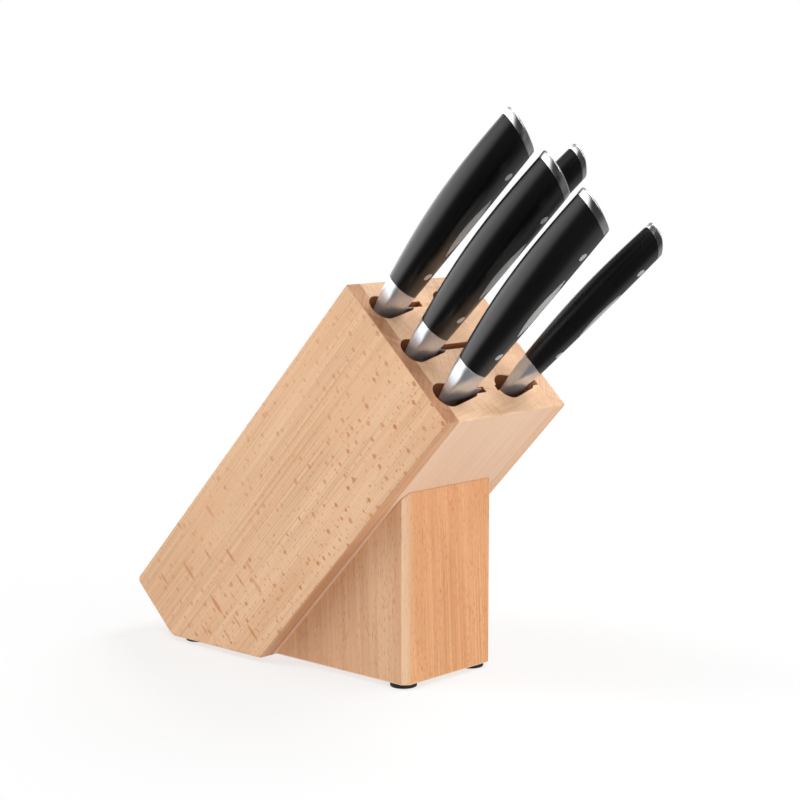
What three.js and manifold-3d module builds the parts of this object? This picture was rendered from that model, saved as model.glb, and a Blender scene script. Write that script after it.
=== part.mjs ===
// A slanted beech knife block on a wedge stand, with five forged knives that lift out of it.
// Millimetres. +Z is up, -Y is the front, +X is to the right, and the feet stand on z = 0.
import * as THREE from "three";
import { mergeVertices } from "three/addons/utils/BufferGeometryUtils.js";
import Module from "manifold-3d";

// ---- Block ----
const BLOCK_TILT = THREE.MathUtils.degToRad(43.5); // lean of the blades forward from upright
const BLOCK_OVERHANG = 37; // of the block's top front edge, ahead of the stand's front face
const CHEEK_THICKNESS = 9;
const WEB_THICKNESS = 8.8; // wood between the left and the right slots
const FLOOR_THICKNESS = 20.9; // wood under the deepest slots, along the blades
const FRONT_BOARD = 16.5; // thickness of the first board, in front of the first row
const ROW_PITCH = 28.5;
const REAR_BOARD = 16.5;
const BOTTOM_EDGE_RADIUS = 6;
const BACK_EDGE_RADIUS = 3;

// ---- Slots ----
const SLOT_PLAY = 0.9; // on each broad side of a blade
const POINT_CLEARANCE = 8;
const MOUTH_PLAY = 0.6; // on each broad side of a neck
const MOUTH_END_RADIUS = 3.5; // at the edge side, to which a mouth narrows
const MOUTH_FLOOR_PLAY = 0.4; // under a bolster

// ---- Stand, feet and dowels ----
const STAND_INSET = 12; // from the block's sides
const STAND_EDGE_RADIUS = 3;
const FOOT_RADIUS = 6.8;
const FOOT_HEIGHT = 2.2;
const FRONT_FOOT_INSET = 0.7; // from the foot's rim to the side of the stand
const FRONT_FOOT_SETBACK = 1.6; // from the rim to the stand's front face
const REAR_FOOT_INSET = 4; // from the rim to the side of the block
const REAR_FOOT_SETBACK = 3; // from the rim to the back edge of the block's floor
const DOWEL_RADIUS = 4;
const DOWEL_DEPTH_IN_BLOCK = 9;
const DOWEL_DEPTH_IN_STAND = 14;
const DOWEL_SETBACK = 36; // of the upper dowel, along the joint from the stand's front face
const DOWEL_PITCH = 50;

// ---- Knives ----
const SPINE_THICKNESS = 2.2;
const EDGE_THICKNESS = 0.5;
const TIP_HEIGHT = 1.2;
const TANG_THICKNESS = 3;
const TANG_IN_CAP = 2;
const NECK_SLANT = 0.42; // rise of the bolster's top edge towards the spine, per millimetre
const BUTT_SLANT = 0.75; // the same for the butt
const RIVET_RADIUS = 2.25;
const INLAY_DEPTH = 1.6;
const INLAY_MARGIN = 14; // from a rivet's middle to the point of the inlay
const SECTION_POWER = 2.5; // roundness of a handle's section, 2 being an ellipse

const LARGE_HANDLE = {
  length: 99,
  neckHeight: 20,
  buttHeight: 27.5,
  neckThickness: 13.5,
  buttThickness: 17,
  bulge: 3.3, // extra thickness half-way along
  arch: 2.8, // rise of the middle towards the spine
  drop: 2.2, // fall of the butt towards the edge
  neckCentre: 6.7, // from the blade's spine
  heelDepth: 16, // from the neck down to the blade's heel
  bolsterDepth: 27,
  bolsterFoot: 24,
  tangWidth: 10,
  capThickness: 5.6,
  firstRivet: 14.3, // from the neck
  lastRivet: 17.3, // from the butt
  rivetOffset: 1.2, // of the first rivet, from the neck's centre towards the edge
  rivetDrift: 2.8, // of the last rivet, further towards the edge
  inlayWidth: 8,
  mouthLead: 4.3, // from the spine back to the side of the mouth
  mouthTrail: 0.7, // from the bolster's foot on to the other side
};

const SMALL_HANDLE = {
  length: 84.5,
  neckHeight: 16,
  buttHeight: 19.5,
  neckThickness: 10.8,
  buttThickness: 12.6,
  bulge: 2.4,
  arch: 2,
  drop: 1.6,
  neckCentre: 6,
  heelDepth: 14,
  bolsterDepth: 24,
  bolsterFoot: 18.8,
  tangWidth: 8,
  capThickness: 4.6,
  firstRivet: 13,
  lastRivet: 13,
  rivetOffset: 2.4,
  rivetDrift: 0,
  inlayWidth: 6,
  mouthLead: 5.4,
  mouthTrail: 2.3,
};

// row 0 is the front one. lean is in degrees, outward to the right. spinePlay and edgePlay are the
// room beside the blade at the top of its slot, and seat is the height of the neck above the block's
// top face. pointDepth is how far the point lies from the line of the spine. bellyPower and
// spinePower say how late along the blade its edge and its spine curve to the point.
const KNIVES = [
  { name: "bread_knife", row: 2, column: "left", lean: 0, spinePlay: 1, edgePlay: 1,
    handle: LARGE_HANDLE, seat: 14.3,
    blade: { length: 205, height: 30, pointDepth: 7, bellyPower: 9, spinePower: 6 } },
  { name: "chef_knife", row: 1, column: "left", lean: 0, spinePlay: 1, edgePlay: 1,
    handle: LARGE_HANDLE, seat: 14.7,
    blade: { length: 200, height: 47, pointDepth: 11, bellyPower: 2.6, spinePower: 2.4 } },
  { name: "carving_knife", row: 0, column: "left", lean: -1.5, spinePlay: 1, edgePlay: 2.2,
    handle: LARGE_HANDLE, seat: 19.9,
    blade: { length: 175, height: 29, pointDepth: 9, bellyPower: 4, spinePower: 3 } },
  { name: "paring_knife", row: 2, column: "right", lean: 9, spinePlay: 5.1, edgePlay: 3.9,
    handle: SMALL_HANDLE, seat: 12,
    blade: { length: 88, height: 19.5, pointDepth: 13, bellyPower: 3, spinePower: 2 } },
  { name: "utility_knife", row: 0, column: "right", lean: 10.3, spinePlay: 6.6, edgePlay: 3.9,
    handle: SMALL_HANDLE, seat: 16.1,
    blade: { length: 108, height: 20.5, pointDepth: 15, bellyPower: 3.5, spinePower: 2 } },
];

// ---- Fit and fineness ----
const GAP = 0.3; // between pieces that touch or are glued
const OVERCUT = 1; // how far a cutting tool passes the face it opens
const SECTION_POINTS = 20;
const GRIP_STATIONS = 7;
const BOLSTER_STATIONS = 5;
const BLADE_STATIONS = 12;
const ROUND_SEGMENTS = 20;

const MATERIALS = {
  cheek: new THREE.MeshStandardMaterial({ color: 0xe3bb96, roughness: 0.6, metalness: 0 }),
  core: new THREE.MeshStandardMaterial({ color: 0xd9a877, roughness: 0.65, metalness: 0 }),
  stand: new THREE.MeshStandardMaterial({ color: 0xe0a873, roughness: 0.6, metalness: 0 }),
  dowel: new THREE.MeshStandardMaterial({ color: 0xcfa57a, roughness: 0.7, metalness: 0 }),
  foot: new THREE.MeshStandardMaterial({ color: 0x1c1c1c, roughness: 0.9, metalness: 0 }),
  grip: new THREE.MeshStandardMaterial({ color: 0x141416, roughness: 0.4, metalness: 0 }),
  blade: new THREE.MeshStandardMaterial({ color: 0xc9ccd0, roughness: 0.25, metalness: 1 }),
  cap: new THREE.MeshStandardMaterial({ color: 0xc4c6c9, roughness: 0.2, metalness: 1 }),
  rivet: new THREE.MeshStandardMaterial({ color: 0xc8c8c8, roughness: 0.35, metalness: 1 }),
  inlay: new THREE.MeshStandardMaterial({ color: 0xbfbfbd, roughness: 0.45, metalness: 1 }),
};

// ---- Worked out from the sizes above ----
const ROWS = [0, 1, 2];
const ALONG_Y = Math.sin(BLOCK_TILT); // forward part of one millimetre along the blades
const ALONG_Z = Math.cos(BLOCK_TILT); // upward part of it
const BASE_HEIGHT = FOOT_HEIGHT + GAP; // of the wood above the worktop
const SLOT_THICKNESS = SPINE_THICKNESS + 2 * SLOT_PLAY;
const MOUTH_RADIUS = LARGE_HANDLE.neckThickness / 2 + MOUTH_PLAY;
const MOUTH_DEPTH = Math.max(...KNIVES.map(bolsterReach)) + MOUTH_FLOOR_PLAY;
const CORE_WIDTH = Math.max(...ROWS.map(widthOfSlots)) + WEB_THICKNESS;
const BLOCK_WIDTH = CORE_WIDTH + 2 * CHEEK_THICKNESS;
const BLOCK_DEPTH = rowPlace(ROWS.length - 1) + REAR_BOARD;
const BLOCK_LENGTH = Math.max(...KNIVES.map(slotDepth)) + FLOOR_THICKNESS;
const FRONT_EDGE_HEIGHT = Math.max(...KNIVES.map(edgeHeightOver));
const STAND_WIDTH = BLOCK_WIDTH - 2 * STAND_INSET;

function rowPlace(row) {
  return FRONT_BOARD + row * ROW_PITCH;
}

function bolsterReach(knife) {
  return knife.handle.bolsterDepth - knife.seat;
}

function slotDepth(knife) {
  return knife.handle.heelDepth + knife.blade.length - knife.seat + POINT_CLEARANCE;
}

function slotWidth(knife) {
  return knife.blade.height + knife.spinePlay + knife.edgePlay;
}

function widthOfSlots(row) {
  return KNIVES.filter((knife) => knife.row === row).reduce((sum, knife) => sum + slotWidth(knife), 0);
}

// The height that leaves enough wood between a slot and the level cut that the block stands on.
function edgeHeightOver(knife) {
  const reach = slotDepth(knife) + FLOOR_THICKNESS;
  return BASE_HEIGHT + reach * ALONG_Z - rowPlace(knife.row) * ALONG_Y;
}

const wasm = await Module();
wasm.setup();

// ---- Solids ----

function toSolid(geometry) {
  const bare = geometry.clone();
  bare.deleteAttribute("normal");
  bare.deleteAttribute("uv");
  const merged = mergeVertices(bare, 1e-4);
  return new wasm.Manifold(new wasm.Mesh({
    numProp: 3,
    vertProperties: new Float32Array(merged.attributes.position.array),
    triVerts: new Uint32Array(merged.index.array),
  }));
}

function toGeometry(solid) {
  const mesh = solid.getMesh();
  const geometry = new THREE.BufferGeometry();
  geometry.setAttribute("position", new THREE.BufferAttribute(new Float32Array(mesh.vertProperties), 3));
  geometry.setIndex(Array.from(mesh.triVerts));
  geometry.computeVertexNormals();
  return geometry;
}

function named(name, geometry, material) {
  const mesh = new THREE.Mesh(geometry, material);
  mesh.name = name;
  return mesh;
}

function boxSolid(low, high) {
  const size = new THREE.Vector3().subVectors(high, low);
  const centre = new THREE.Vector3().addVectors(low, high).multiplyScalar(0.5);
  return toSolid(new THREE.BoxGeometry(size.x, size.y, size.z).translate(centre.x, centre.y, centre.z));
}

// Joins closed rings of points, all with the same count, into one body with flat ends.
function loft(rings) {
  const count = rings[0].length;
  const positions = [];
  const index = [];
  for (const ring of rings) {
    for (const point of ring) {
      positions.push(point.x, point.y, point.z);
    }
  }
  for (let r = 0; r + 1 < rings.length; r += 1) {
    for (let i = 0; i < count; i += 1) {
      const a = r * count + i;
      const b = r * count + ((i + 1) % count);
      index.push(a, b, b + count, a, b + count, a + count);
    }
  }
  const last = (rings.length - 1) * count;
  for (let i = 1; i + 1 < count; i += 1) {
    index.push(0, i + 1, i);
    index.push(last, last + i, last + i + 1);
  }
  const geometry = new THREE.BufferGeometry();
  geometry.setAttribute("position", new THREE.Float32BufferAttribute(positions, 3));
  geometry.setIndex(index);
  return geometry;
}

// A handle's section: halfHeight along x, halfThickness along y. The ring leans by slant about
// its centre, so that its spine side is higher.
function sectionRing({ centre, halfHeight, halfThickness, z, slant }) {
  const ring = [];
  for (let i = 0; i < SECTION_POINTS; i += 1) {
    const angle = (2 * Math.PI * i) / SECTION_POINTS;
    const c = Math.cos(angle);
    const s = Math.sin(angle);
    const x = halfHeight * Math.sign(c) * Math.abs(c) ** (2 / SECTION_POWER);
    const y = halfThickness * Math.sign(s) * Math.abs(s) ** (2 / SECTION_POWER);
    ring.push(new THREE.Vector3(centre + x, y, z - slant * x));
  }
  return ring;
}

function barRing({ centre, width, thickness, z, slant }) {
  const corners = [[1, 1], [-1, 1], [-1, -1], [1, -1]];
  return corners.map(([sx, sy]) => new THREE.Vector3(
    centre + (sx * width) / 2, (sy * thickness) / 2, z - (slant * sx * width) / 2));
}

// ---- Block ----

// The block's side outline in (y, z) of its own tilted frame, whose origin is the middle of the
// top front edge: y runs across the rows and z along the blades.
function blockOutline() {
  const floorAtFront = (BASE_HEIGHT - FRONT_EDGE_HEIGHT) / ALONG_Z;
  return roundedOutline([
    { x: 0, y: 0, radius: 0 },
    { x: 0, y: floorAtFront, radius: 0 },
    { x: floorAtBack(), y: -BLOCK_LENGTH, radius: BOTTOM_EDGE_RADIUS },
    { x: BLOCK_DEPTH, y: -BLOCK_LENGTH, radius: BACK_EDGE_RADIUS },
    { x: BLOCK_DEPTH, y: 0, radius: 0 },
  ]);
}

// Where the level floor cut meets the block's lower end, across the rows.
function floorAtBack() {
  return (BASE_HEIGHT - FRONT_EDGE_HEIGHT + BLOCK_LENGTH * ALONG_Z) / ALONG_Y;
}

function roundedOutline(corners) {
  const shape = new THREE.Shape();
  corners.forEach((corner, i) => {
    const here = new THREE.Vector2(corner.x, corner.y);
    if (corner.radius === 0) {
      if (i === 0) shape.moveTo(here.x, here.y);
      else shape.lineTo(here.x, here.y);
      return;
    }
    const before = corners[i - 1];
    const after = corners[(i + 1) % corners.length];
    const back = new THREE.Vector2(before.x, before.y).sub(here).normalize();
    const on = new THREE.Vector2(after.x, after.y).sub(here).normalize();
    const reach = corner.radius / Math.tan(Math.acos(back.dot(on)) / 2);
    const start = here.clone().addScaledVector(back, reach);
    const end = here.clone().addScaledVector(on, reach);
    shape.lineTo(start.x, start.y);
    shape.quadraticCurveTo(here.x, here.y, end.x, end.y);
  });
  shape.closePath();
  return shape;
}

// Extrudes an outline drawn in (y, z) from x = from to x = to.
function extrudeAcross(shape, from, to) {
  const geometry = new THREE.ExtrudeGeometry(shape, {
    depth: to - from,
    bevelEnabled: false,
    curveSegments: 4,
  });
  const basis = new THREE.Matrix4().makeBasis(
    new THREE.Vector3(0, 1, 0), new THREE.Vector3(0, 0, 1), new THREE.Vector3(1, 0, 0));
  return geometry.applyMatrix4(basis).translate(from, 0, 0);
}

// The mouths reach a little way into the cheek.
function makeCheek(side) {
  const inner = CORE_WIDTH / 2 + GAP / 2;
  const outer = BLOCK_WIDTH / 2;
  const [from, to] = side === "left" ? [-outer, -inner] : [inner, outer];
  let cheek = toSolid(extrudeAcross(blockOutline(), from, to));
  for (const knife of KNIVES) cheek = cheek.subtract(mouthTool(knife));
  return named(`${side}_cheek`, toGeometry(cheek), MATERIALS.cheek);
}

// The spine side of a knife's slot, across the block.
function slotStart(knife) {
  return knife.column === "right" ? CORE_WIDTH / 2 - slotWidth(knife) : -CORE_WIDTH / 2;
}

// A slot is sawn in from one side of the core, and the cheek closes it.
function slotTool(knife) {
  const start = slotStart(knife);
  const [before, after] = knife.column === "right" ? [0, OVERCUT] : [OVERCUT, 0];
  const y = rowPlace(knife.row);
  return boxSolid(
    new THREE.Vector3(start - before, y - SLOT_THICKNESS / 2, -slotDepth(knife)),
    new THREE.Vector3(start + slotWidth(knife) + after, y + SLOT_THICKNESS / 2, OVERCUT));
}

// Where the spine of a blade passes the block's top face, across the block.
function spineAtTop(knife) {
  return slotStart(knife) + knife.spinePlay;
}

// The wide end of a slot takes the bolster: a large round under the spine that narrows towards
// the edge.
function mouthTool(knife) {
  const { mouthLead, mouthTrail, bolsterFoot } = knife.handle;
  const wide = spineAtTop(knife) - mouthLead + MOUTH_RADIUS;
  const narrow = spineAtTop(knife) + bolsterFoot + mouthTrail - MOUTH_END_RADIUS;
  const turn = Math.acos((MOUTH_RADIUS - MOUTH_END_RADIUS) / (narrow - wide));
  const shape = new THREE.Shape();
  shape.absarc(wide, 0, MOUTH_RADIUS, turn, 2 * Math.PI - turn, false);
  shape.absarc(narrow, 0, MOUTH_END_RADIUS, -turn, turn, false);
  shape.closePath();
  const geometry = new THREE.ExtrudeGeometry(shape, {
    depth: MOUTH_DEPTH + OVERCUT,
    bevelEnabled: false,
    curveSegments: ROUND_SEGMENTS / 2,
  });
  return toSolid(geometry.translate(0, rowPlace(knife.row), -MOUTH_DEPTH));
}

// Both dowels stand square to the joint between the block and the stand.
function dowelPlaces() {
  const standFront = BLOCK_OVERHANG / ALONG_Y;
  return [0, 1].map((i) => -(standFront + DOWEL_SETBACK + i * DOWEL_PITCH));
}

function dowelShape(radius, extra, z) {
  const length = DOWEL_DEPTH_IN_BLOCK + DOWEL_DEPTH_IN_STAND + 2 * extra;
  const middle = (DOWEL_DEPTH_IN_BLOCK - DOWEL_DEPTH_IN_STAND) / 2;
  return new THREE.CylinderGeometry(radius, radius, length, ROUND_SEGMENTS).translate(0, middle, z);
}

function makeDowels() {
  return dowelPlaces().map((z, i) => named(
    ["upper_dowel", "lower_dowel"][i], dowelShape(DOWEL_RADIUS, 0, z), MATERIALS.dowel));
}

// The core is a stack of boards glued on the rows, so each slot is half in one board and half
// in the next.
function makeBoards() {
  const cuts = [];
  for (const knife of KNIVES) {
    cuts.push(slotTool(knife));
    cuts.push(mouthTool(knife));
  }
  for (const z of dowelPlaces()) {
    cuts.push(toSolid(dowelShape(DOWEL_RADIUS + GAP, GAP, z)));
  }
  const half = CORE_WIDTH / 2 - GAP / 2;
  const core = toSolid(extrudeAcross(blockOutline(), -half, half));
  const seams = [-OVERCUT, ...ROWS.map(rowPlace), BLOCK_DEPTH + OVERCUT];
  return seams.slice(1).map((seam, i) => {
    const low = new THREE.Vector3(-BLOCK_WIDTH, seams[i] + GAP / 2, -2 * BLOCK_LENGTH);
    const high = new THREE.Vector3(BLOCK_WIDTH, seam - GAP / 2, OVERCUT);
    let board = core.intersect(boxSolid(low, high));
    for (const cut of cuts) board = board.subtract(cut);
    return named(`core_board_${i + 1}`, toGeometry(board), MATERIALS.core);
  });
}

// ---- Stand ----

// The wedge's side outline in (y, z), upright, under the block's sloping front face.
function wedgeOutline() {
  const slope = ALONG_Z / ALONG_Y;
  const seam = FRONT_EDGE_HEIGHT - GAP / ALONG_Y;
  const top = seam - BLOCK_OVERHANG * slope;
  const back = (seam - BASE_HEIGHT) / slope - BLOCK_OVERHANG;
  const shape = new THREE.Shape();
  shape.moveTo(0, BASE_HEIGHT);
  shape.lineTo(back, BASE_HEIGHT);
  shape.lineTo(0, top);
  shape.closePath();
  return shape;
}

function standPlan() {
  const half = STAND_WIDTH / 2;
  const r = STAND_EDGE_RADIUS;
  const shape = new THREE.Shape();
  shape.moveTo(-half, BLOCK_LENGTH);
  shape.lineTo(-half, r);
  shape.absarc(-half + r, r, r, Math.PI, 1.5 * Math.PI, false);
  shape.absarc(half - r, r, r, 1.5 * Math.PI, 2 * Math.PI, false);
  shape.lineTo(half, BLOCK_LENGTH);
  shape.closePath();
  return shape;
}

function makeStand(blockMatrix) {
  const wedge = toSolid(extrudeAcross(wedgeOutline(), -STAND_WIDTH, STAND_WIDTH));
  const post = new THREE.ExtrudeGeometry(standPlan(), {
    depth: FRONT_EDGE_HEIGHT,
    bevelEnabled: false,
    curveSegments: 4,
  });
  let stand = toSolid(post).intersect(wedge);
  for (const z of dowelPlaces()) {
    const hole = dowelShape(DOWEL_RADIUS + GAP, GAP, z).applyMatrix4(blockMatrix);
    stand = stand.subtract(toSolid(hole));
  }
  return named("stand", toGeometry(stand), MATERIALS.stand);
}

function makeFeet() {
  const backEdge = BLOCK_LENGTH * ALONG_Y + floorAtBack() * ALONG_Z - BLOCK_OVERHANG;
  const frontX = STAND_WIDTH / 2 - FRONT_FOOT_INSET - FOOT_RADIUS;
  const frontY = FRONT_FOOT_SETBACK + FOOT_RADIUS;
  const rearX = BLOCK_WIDTH / 2 - REAR_FOOT_INSET - FOOT_RADIUS;
  const rearY = backEdge - REAR_FOOT_SETBACK - FOOT_RADIUS;
  const places = {
    front_left_foot: [-frontX, frontY],
    front_right_foot: [frontX, frontY],
    rear_left_foot: [-rearX, rearY],
    rear_right_foot: [rearX, rearY],
  };
  return Object.entries(places).map(([name, [x, y]]) => {
    const disc = new THREE.CylinderGeometry(FOOT_RADIUS, FOOT_RADIUS, FOOT_HEIGHT, ROUND_SEGMENTS);
    const foot = named(name, disc.rotateX(Math.PI / 2), MATERIALS.foot);
    foot.position.set(x, y, FOOT_HEIGHT / 2);
    return foot;
  });
}

// ---- Knives ----
// A knife's own frame: z runs from the point to the butt with 0 at the neck, where the bolster
// meets the grip. x is 0 on the spine of the blade and grows towards the edge. y is across the
// thickness.

function gripSection(handle, share) {
  const wave = Math.sin(Math.PI * share);
  const ease = 1 - (1 - share) ** 2;
  return {
    centre: handle.neckCentre + handle.drop * share - handle.arch * wave,
    halfHeight: THREE.MathUtils.lerp(handle.neckHeight, handle.buttHeight, ease) / 2,
    halfThickness: THREE.MathUtils.lerp(handle.neckThickness, handle.buttThickness, share) / 2
      + (handle.bulge * wave) / 2,
    z: handle.length * share,
    slant: THREE.MathUtils.lerp(NECK_SLANT, BUTT_SLANT, share),
  };
}

function gripBlank(handle) {
  const rings = [];
  for (let i = 0; i < GRIP_STATIONS; i += 1) {
    rings.push(sectionRing(gripSection(handle, i / (GRIP_STATIONS - 1))));
  }
  return toSolid(loft(rings));
}

// The line of the rivets, along the middle of the tang: its distance from the blade's spine.
function rivetLine(handle, z) {
  const { front, rear } = rivetPlaces(handle);
  const share = (z - front) / (rear - front);
  return handle.neckCentre + handle.rivetOffset + handle.rivetDrift * share;
}

function tangShape(handle, play) {
  const width = handle.tangWidth + 2 * play;
  const thickness = TANG_THICKNESS + 2 * play;
  const start = -handle.heelDepth / 2;
  const foot = rivetLine(handle, start);
  const centre = rivetLine(handle, handle.length);
  const end = handle.length + TANG_IN_CAP + play;
  const butt = gripSection(handle, 1);
  return toSolid(loft([
    barRing({ centre: foot, width, thickness, z: start, slant: 0 }),
    barRing({ centre, width, thickness, z: end + BUTT_SLANT * (butt.centre - centre), slant: BUTT_SLANT }),
  ]));
}

function bladeShape(handle, blade) {
  const rings = [];
  for (let i = 0; i <= BLADE_STATIONS; i += 1) {
    const share = 1 - (1 - i / BLADE_STATIONS) ** 1.5;
    const spine = blade.pointDepth * share ** blade.spinePower;
    const rise = (blade.height - blade.pointDepth - TIP_HEIGHT) * share ** blade.bellyPower;
    const edge = blade.height - rise;
    const z = -handle.heelDepth - blade.length * share;
    rings.unshift([
      new THREE.Vector3(edge, EDGE_THICKNESS / 2, z),
      new THREE.Vector3(spine, SPINE_THICKNESS / 2, z),
      new THREE.Vector3(spine, -SPINE_THICKNESS / 2, z),
      new THREE.Vector3(edge, -EDGE_THICKNESS / 2, z),
    ]);
  }
  return toSolid(loft(rings));
}

// From the neck down, the bolster thins to the blade and its spine side draws in to the spine.
function bolsterShape(handle) {
  const neck = gripSection(handle, 0);
  const rings = [];
  for (let i = 0; i < BOLSTER_STATIONS; i += 1) {
    const share = i / (BOLSTER_STATIONS - 1);
    const left = (1 - share) ** 2;
    const spineSide = THREE.MathUtils.lerp(GAP, neck.centre - neck.halfHeight, left);
    const edgeSide = THREE.MathUtils.lerp(neck.centre + neck.halfHeight, handle.bolsterFoot, share);
    rings.unshift(sectionRing({
      centre: (spineSide + edgeSide) / 2,
      halfHeight: (edgeSide - spineSide) / 2,
      halfThickness: THREE.MathUtils.lerp(neck.halfThickness, SPINE_THICKNESS / 2 - GAP, share),
      z: -GAP - (handle.bolsterDepth - GAP) * share,
      slant: NECK_SLANT * left,
    }));
  }
  return toSolid(loft(rings));
}

function capShape(handle) {
  const butt = gripSection(handle, 1);
  const rings = [
    [0, 1],
    [0.6, 0.985],
    [0.88, 0.9],
    [1, 0.72],
  ].map(([rise, size]) => sectionRing({
    ...butt,
    halfHeight: butt.halfHeight * size,
    halfThickness: butt.halfThickness * size,
    z: butt.z + GAP + (handle.capThickness - GAP) * rise,
  }));
  return toSolid(loft(rings));
}

function rivetPlaces(handle) {
  return { front: handle.firstRivet, rear: handle.length - handle.lastRivet };
}

// A round bar across the whole handle, through the tang.
function rivetBar(handle, radius, z) {
  const length = 2 * (handle.buttThickness + handle.bulge);
  const bar = new THREE.CylinderGeometry(radius, radius, length, ROUND_SEGMENTS);
  return toSolid(bar.translate(rivetLine(handle, z), 0, z));
}

// A pointed oval prism that starts inlayDepth under the handle's broad face.
function inlayPrism(handle, side, grow) {
  const rivets = rivetPlaces(handle);
  const middle = (rivets.front + rivets.rear) / 2;
  const section = gripSection(handle, middle / handle.length);
  const half = (rivets.rear - rivets.front) / 2 - INLAY_MARGIN + grow;
  const bow = handle.inlayWidth + 2 * grow;
  const shape = new THREE.Shape();
  shape.moveTo(0, -half);
  shape.quadraticCurveTo(bow, 0, 0, half);
  shape.quadraticCurveTo(-bow, 0, 0, -half);
  const geometry = new THREE.ExtrudeGeometry(shape, {
    depth: handle.buttThickness,
    bevelEnabled: false,
    curveSegments: 8,
  });
  const floor = section.halfThickness - INLAY_DEPTH - grow;
  geometry.rotateX(side === "front" ? Math.PI / 2 : -Math.PI / 2);
  geometry.rotateY(Math.atan(handle.rivetDrift / (rivets.rear - rivets.front)));
  geometry.translate(rivetLine(handle, middle), side === "front" ? -floor : floor, middle);
  return toSolid(geometry);
}

function makeKnife(knife) {
  const { name, handle, blade } = knife;
  const group = new THREE.Group();
  const blank = gripBlank(handle);
  let grip = blank.subtract(tangShape(handle, GAP));
  let steel = bladeShape(handle, blade).add(bolsterShape(handle)).add(tangShape(handle, 0));
  for (const [place, z] of Object.entries(rivetPlaces(handle))) {
    const hole = rivetBar(handle, RIVET_RADIUS + GAP, z);
    grip = grip.subtract(hole);
    steel = steel.subtract(hole);
    const rivet = rivetBar(handle, RIVET_RADIUS, z).intersect(blank);
    group.add(named(`${name}_${place}_rivet`, toGeometry(rivet), MATERIALS.rivet));
  }
  for (const side of ["front", "back"]) {
    grip = grip.subtract(inlayPrism(handle, side, GAP));
    const inlay = inlayPrism(handle, side, 0).intersect(blank);
    group.add(named(`${name}_${side}_inlay`, toGeometry(inlay), MATERIALS.inlay));
  }
  const cap = capShape(handle).subtract(tangShape(handle, GAP));
  group.add(named(`${name}_blade`, toGeometry(steel), MATERIALS.blade));
  group.add(named(`${name}_grip`, toGeometry(grip), MATERIALS.grip));
  group.add(named(`${name}_end_cap`, toGeometry(cap), MATERIALS.cap));
  return group;
}

function seatKnife(knife) {
  const lean = THREE.MathUtils.degToRad(knife.lean);
  const group = makeKnife(knife);
  group.rotation.y = lean;
  group.position.set(
    spineAtTop(knife) + knife.seat * Math.tan(lean), rowPlace(knife.row), knife.seat);
  return group;
}

// ---- Assembly ----

const block = new THREE.Group();
block.position.set(0, -BLOCK_OVERHANG, FRONT_EDGE_HEIGHT);
block.rotation.x = BLOCK_TILT;
block.updateMatrix();
block.add(makeCheek("left"), makeCheek("right"), ...makeBoards(), ...makeDowels());
for (const knife of KNIVES) block.add(seatKnife(knife));

const assembly = new THREE.Group();
assembly.add(block, makeStand(block.matrix), ...makeFeet());

// The origin is under the middle of the whole object, on the worktop.
const knifeBlock = new THREE.Group();
knifeBlock.add(assembly);
const bounds = new THREE.Box3().setFromObject(assembly, true);
const middle = bounds.getCenter(new THREE.Vector3());
assembly.position.set(-middle.x, -middle.y, -bounds.min.z);

export default knifeBlock;
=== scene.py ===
"""Looks for a slanted beech knife block with five forged knives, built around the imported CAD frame.

Sizes are in millimetres until a mesh is made, and metres from there on. The block's own frame has
x across it, y across the rows of knives and z along the blades, from the top front edge. A knife's
frame has x from its spine to its edge, y through its thickness and z from the neck to the butt.
"""

import math

import bmesh
import bpy
from mathutils import Matrix, Vector


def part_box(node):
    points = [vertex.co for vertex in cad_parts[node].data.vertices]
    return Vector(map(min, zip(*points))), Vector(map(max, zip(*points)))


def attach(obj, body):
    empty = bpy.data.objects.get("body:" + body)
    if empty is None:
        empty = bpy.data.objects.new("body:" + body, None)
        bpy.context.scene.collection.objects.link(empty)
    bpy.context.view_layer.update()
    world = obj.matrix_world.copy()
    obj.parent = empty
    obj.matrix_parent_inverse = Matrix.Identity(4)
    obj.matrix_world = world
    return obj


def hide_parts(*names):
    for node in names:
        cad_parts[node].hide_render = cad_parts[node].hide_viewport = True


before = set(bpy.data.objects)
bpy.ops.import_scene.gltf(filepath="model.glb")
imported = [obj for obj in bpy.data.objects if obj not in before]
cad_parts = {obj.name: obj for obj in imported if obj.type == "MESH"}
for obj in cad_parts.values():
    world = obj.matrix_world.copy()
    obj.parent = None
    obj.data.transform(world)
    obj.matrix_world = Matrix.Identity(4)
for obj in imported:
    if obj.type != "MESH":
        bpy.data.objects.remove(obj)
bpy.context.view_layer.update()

MM = 0.001
OWN_PLACE = "own_place"

# ---- Sizes, as in the CAD model ----
BLOCK_TILT = math.radians(43.5)
BLOCK_LENGTH = 235.6
BLOCK_DEPTH = 90.0
BLOCK_HALF_WIDTH = 45.0
CORE_HALF_WIDTH = 36.0
BASE_HEIGHT = 2.5
ROW_PLACES = (16.5, 45.0, 73.5)
BOTTOM_EDGE_RADIUS = 6.0
BACK_EDGE_RADIUS = 3.0
MOUTH_RADIUS = 7.35
MOUTH_END_RADIUS = 3.5
MOUTH_DEPTH = 13.1
STAND_HALF_WIDTH = 33.0
FOOT_RADIUS = 6.8
FOOT_HEIGHT = 2.2
DOWEL_HOLE_RADIUS = 4.0 * 1.02
DOWEL_REACH = 12.0
SPINE_THICKNESS = 2.2
EDGE_THICKNESS = 0.5
TIP_HEIGHT = 1.2
TANG_THICKNESS = 3.0
TANG_IN_CAP = 2.0
NECK_SLANT = 0.42
BUTT_SLANT = 0.75
RIVET_RADIUS = 2.25
INLAY_DEPTH = 1.6
INLAY_MARGIN = 14.0
SECTION_POWER = 2.5

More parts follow.
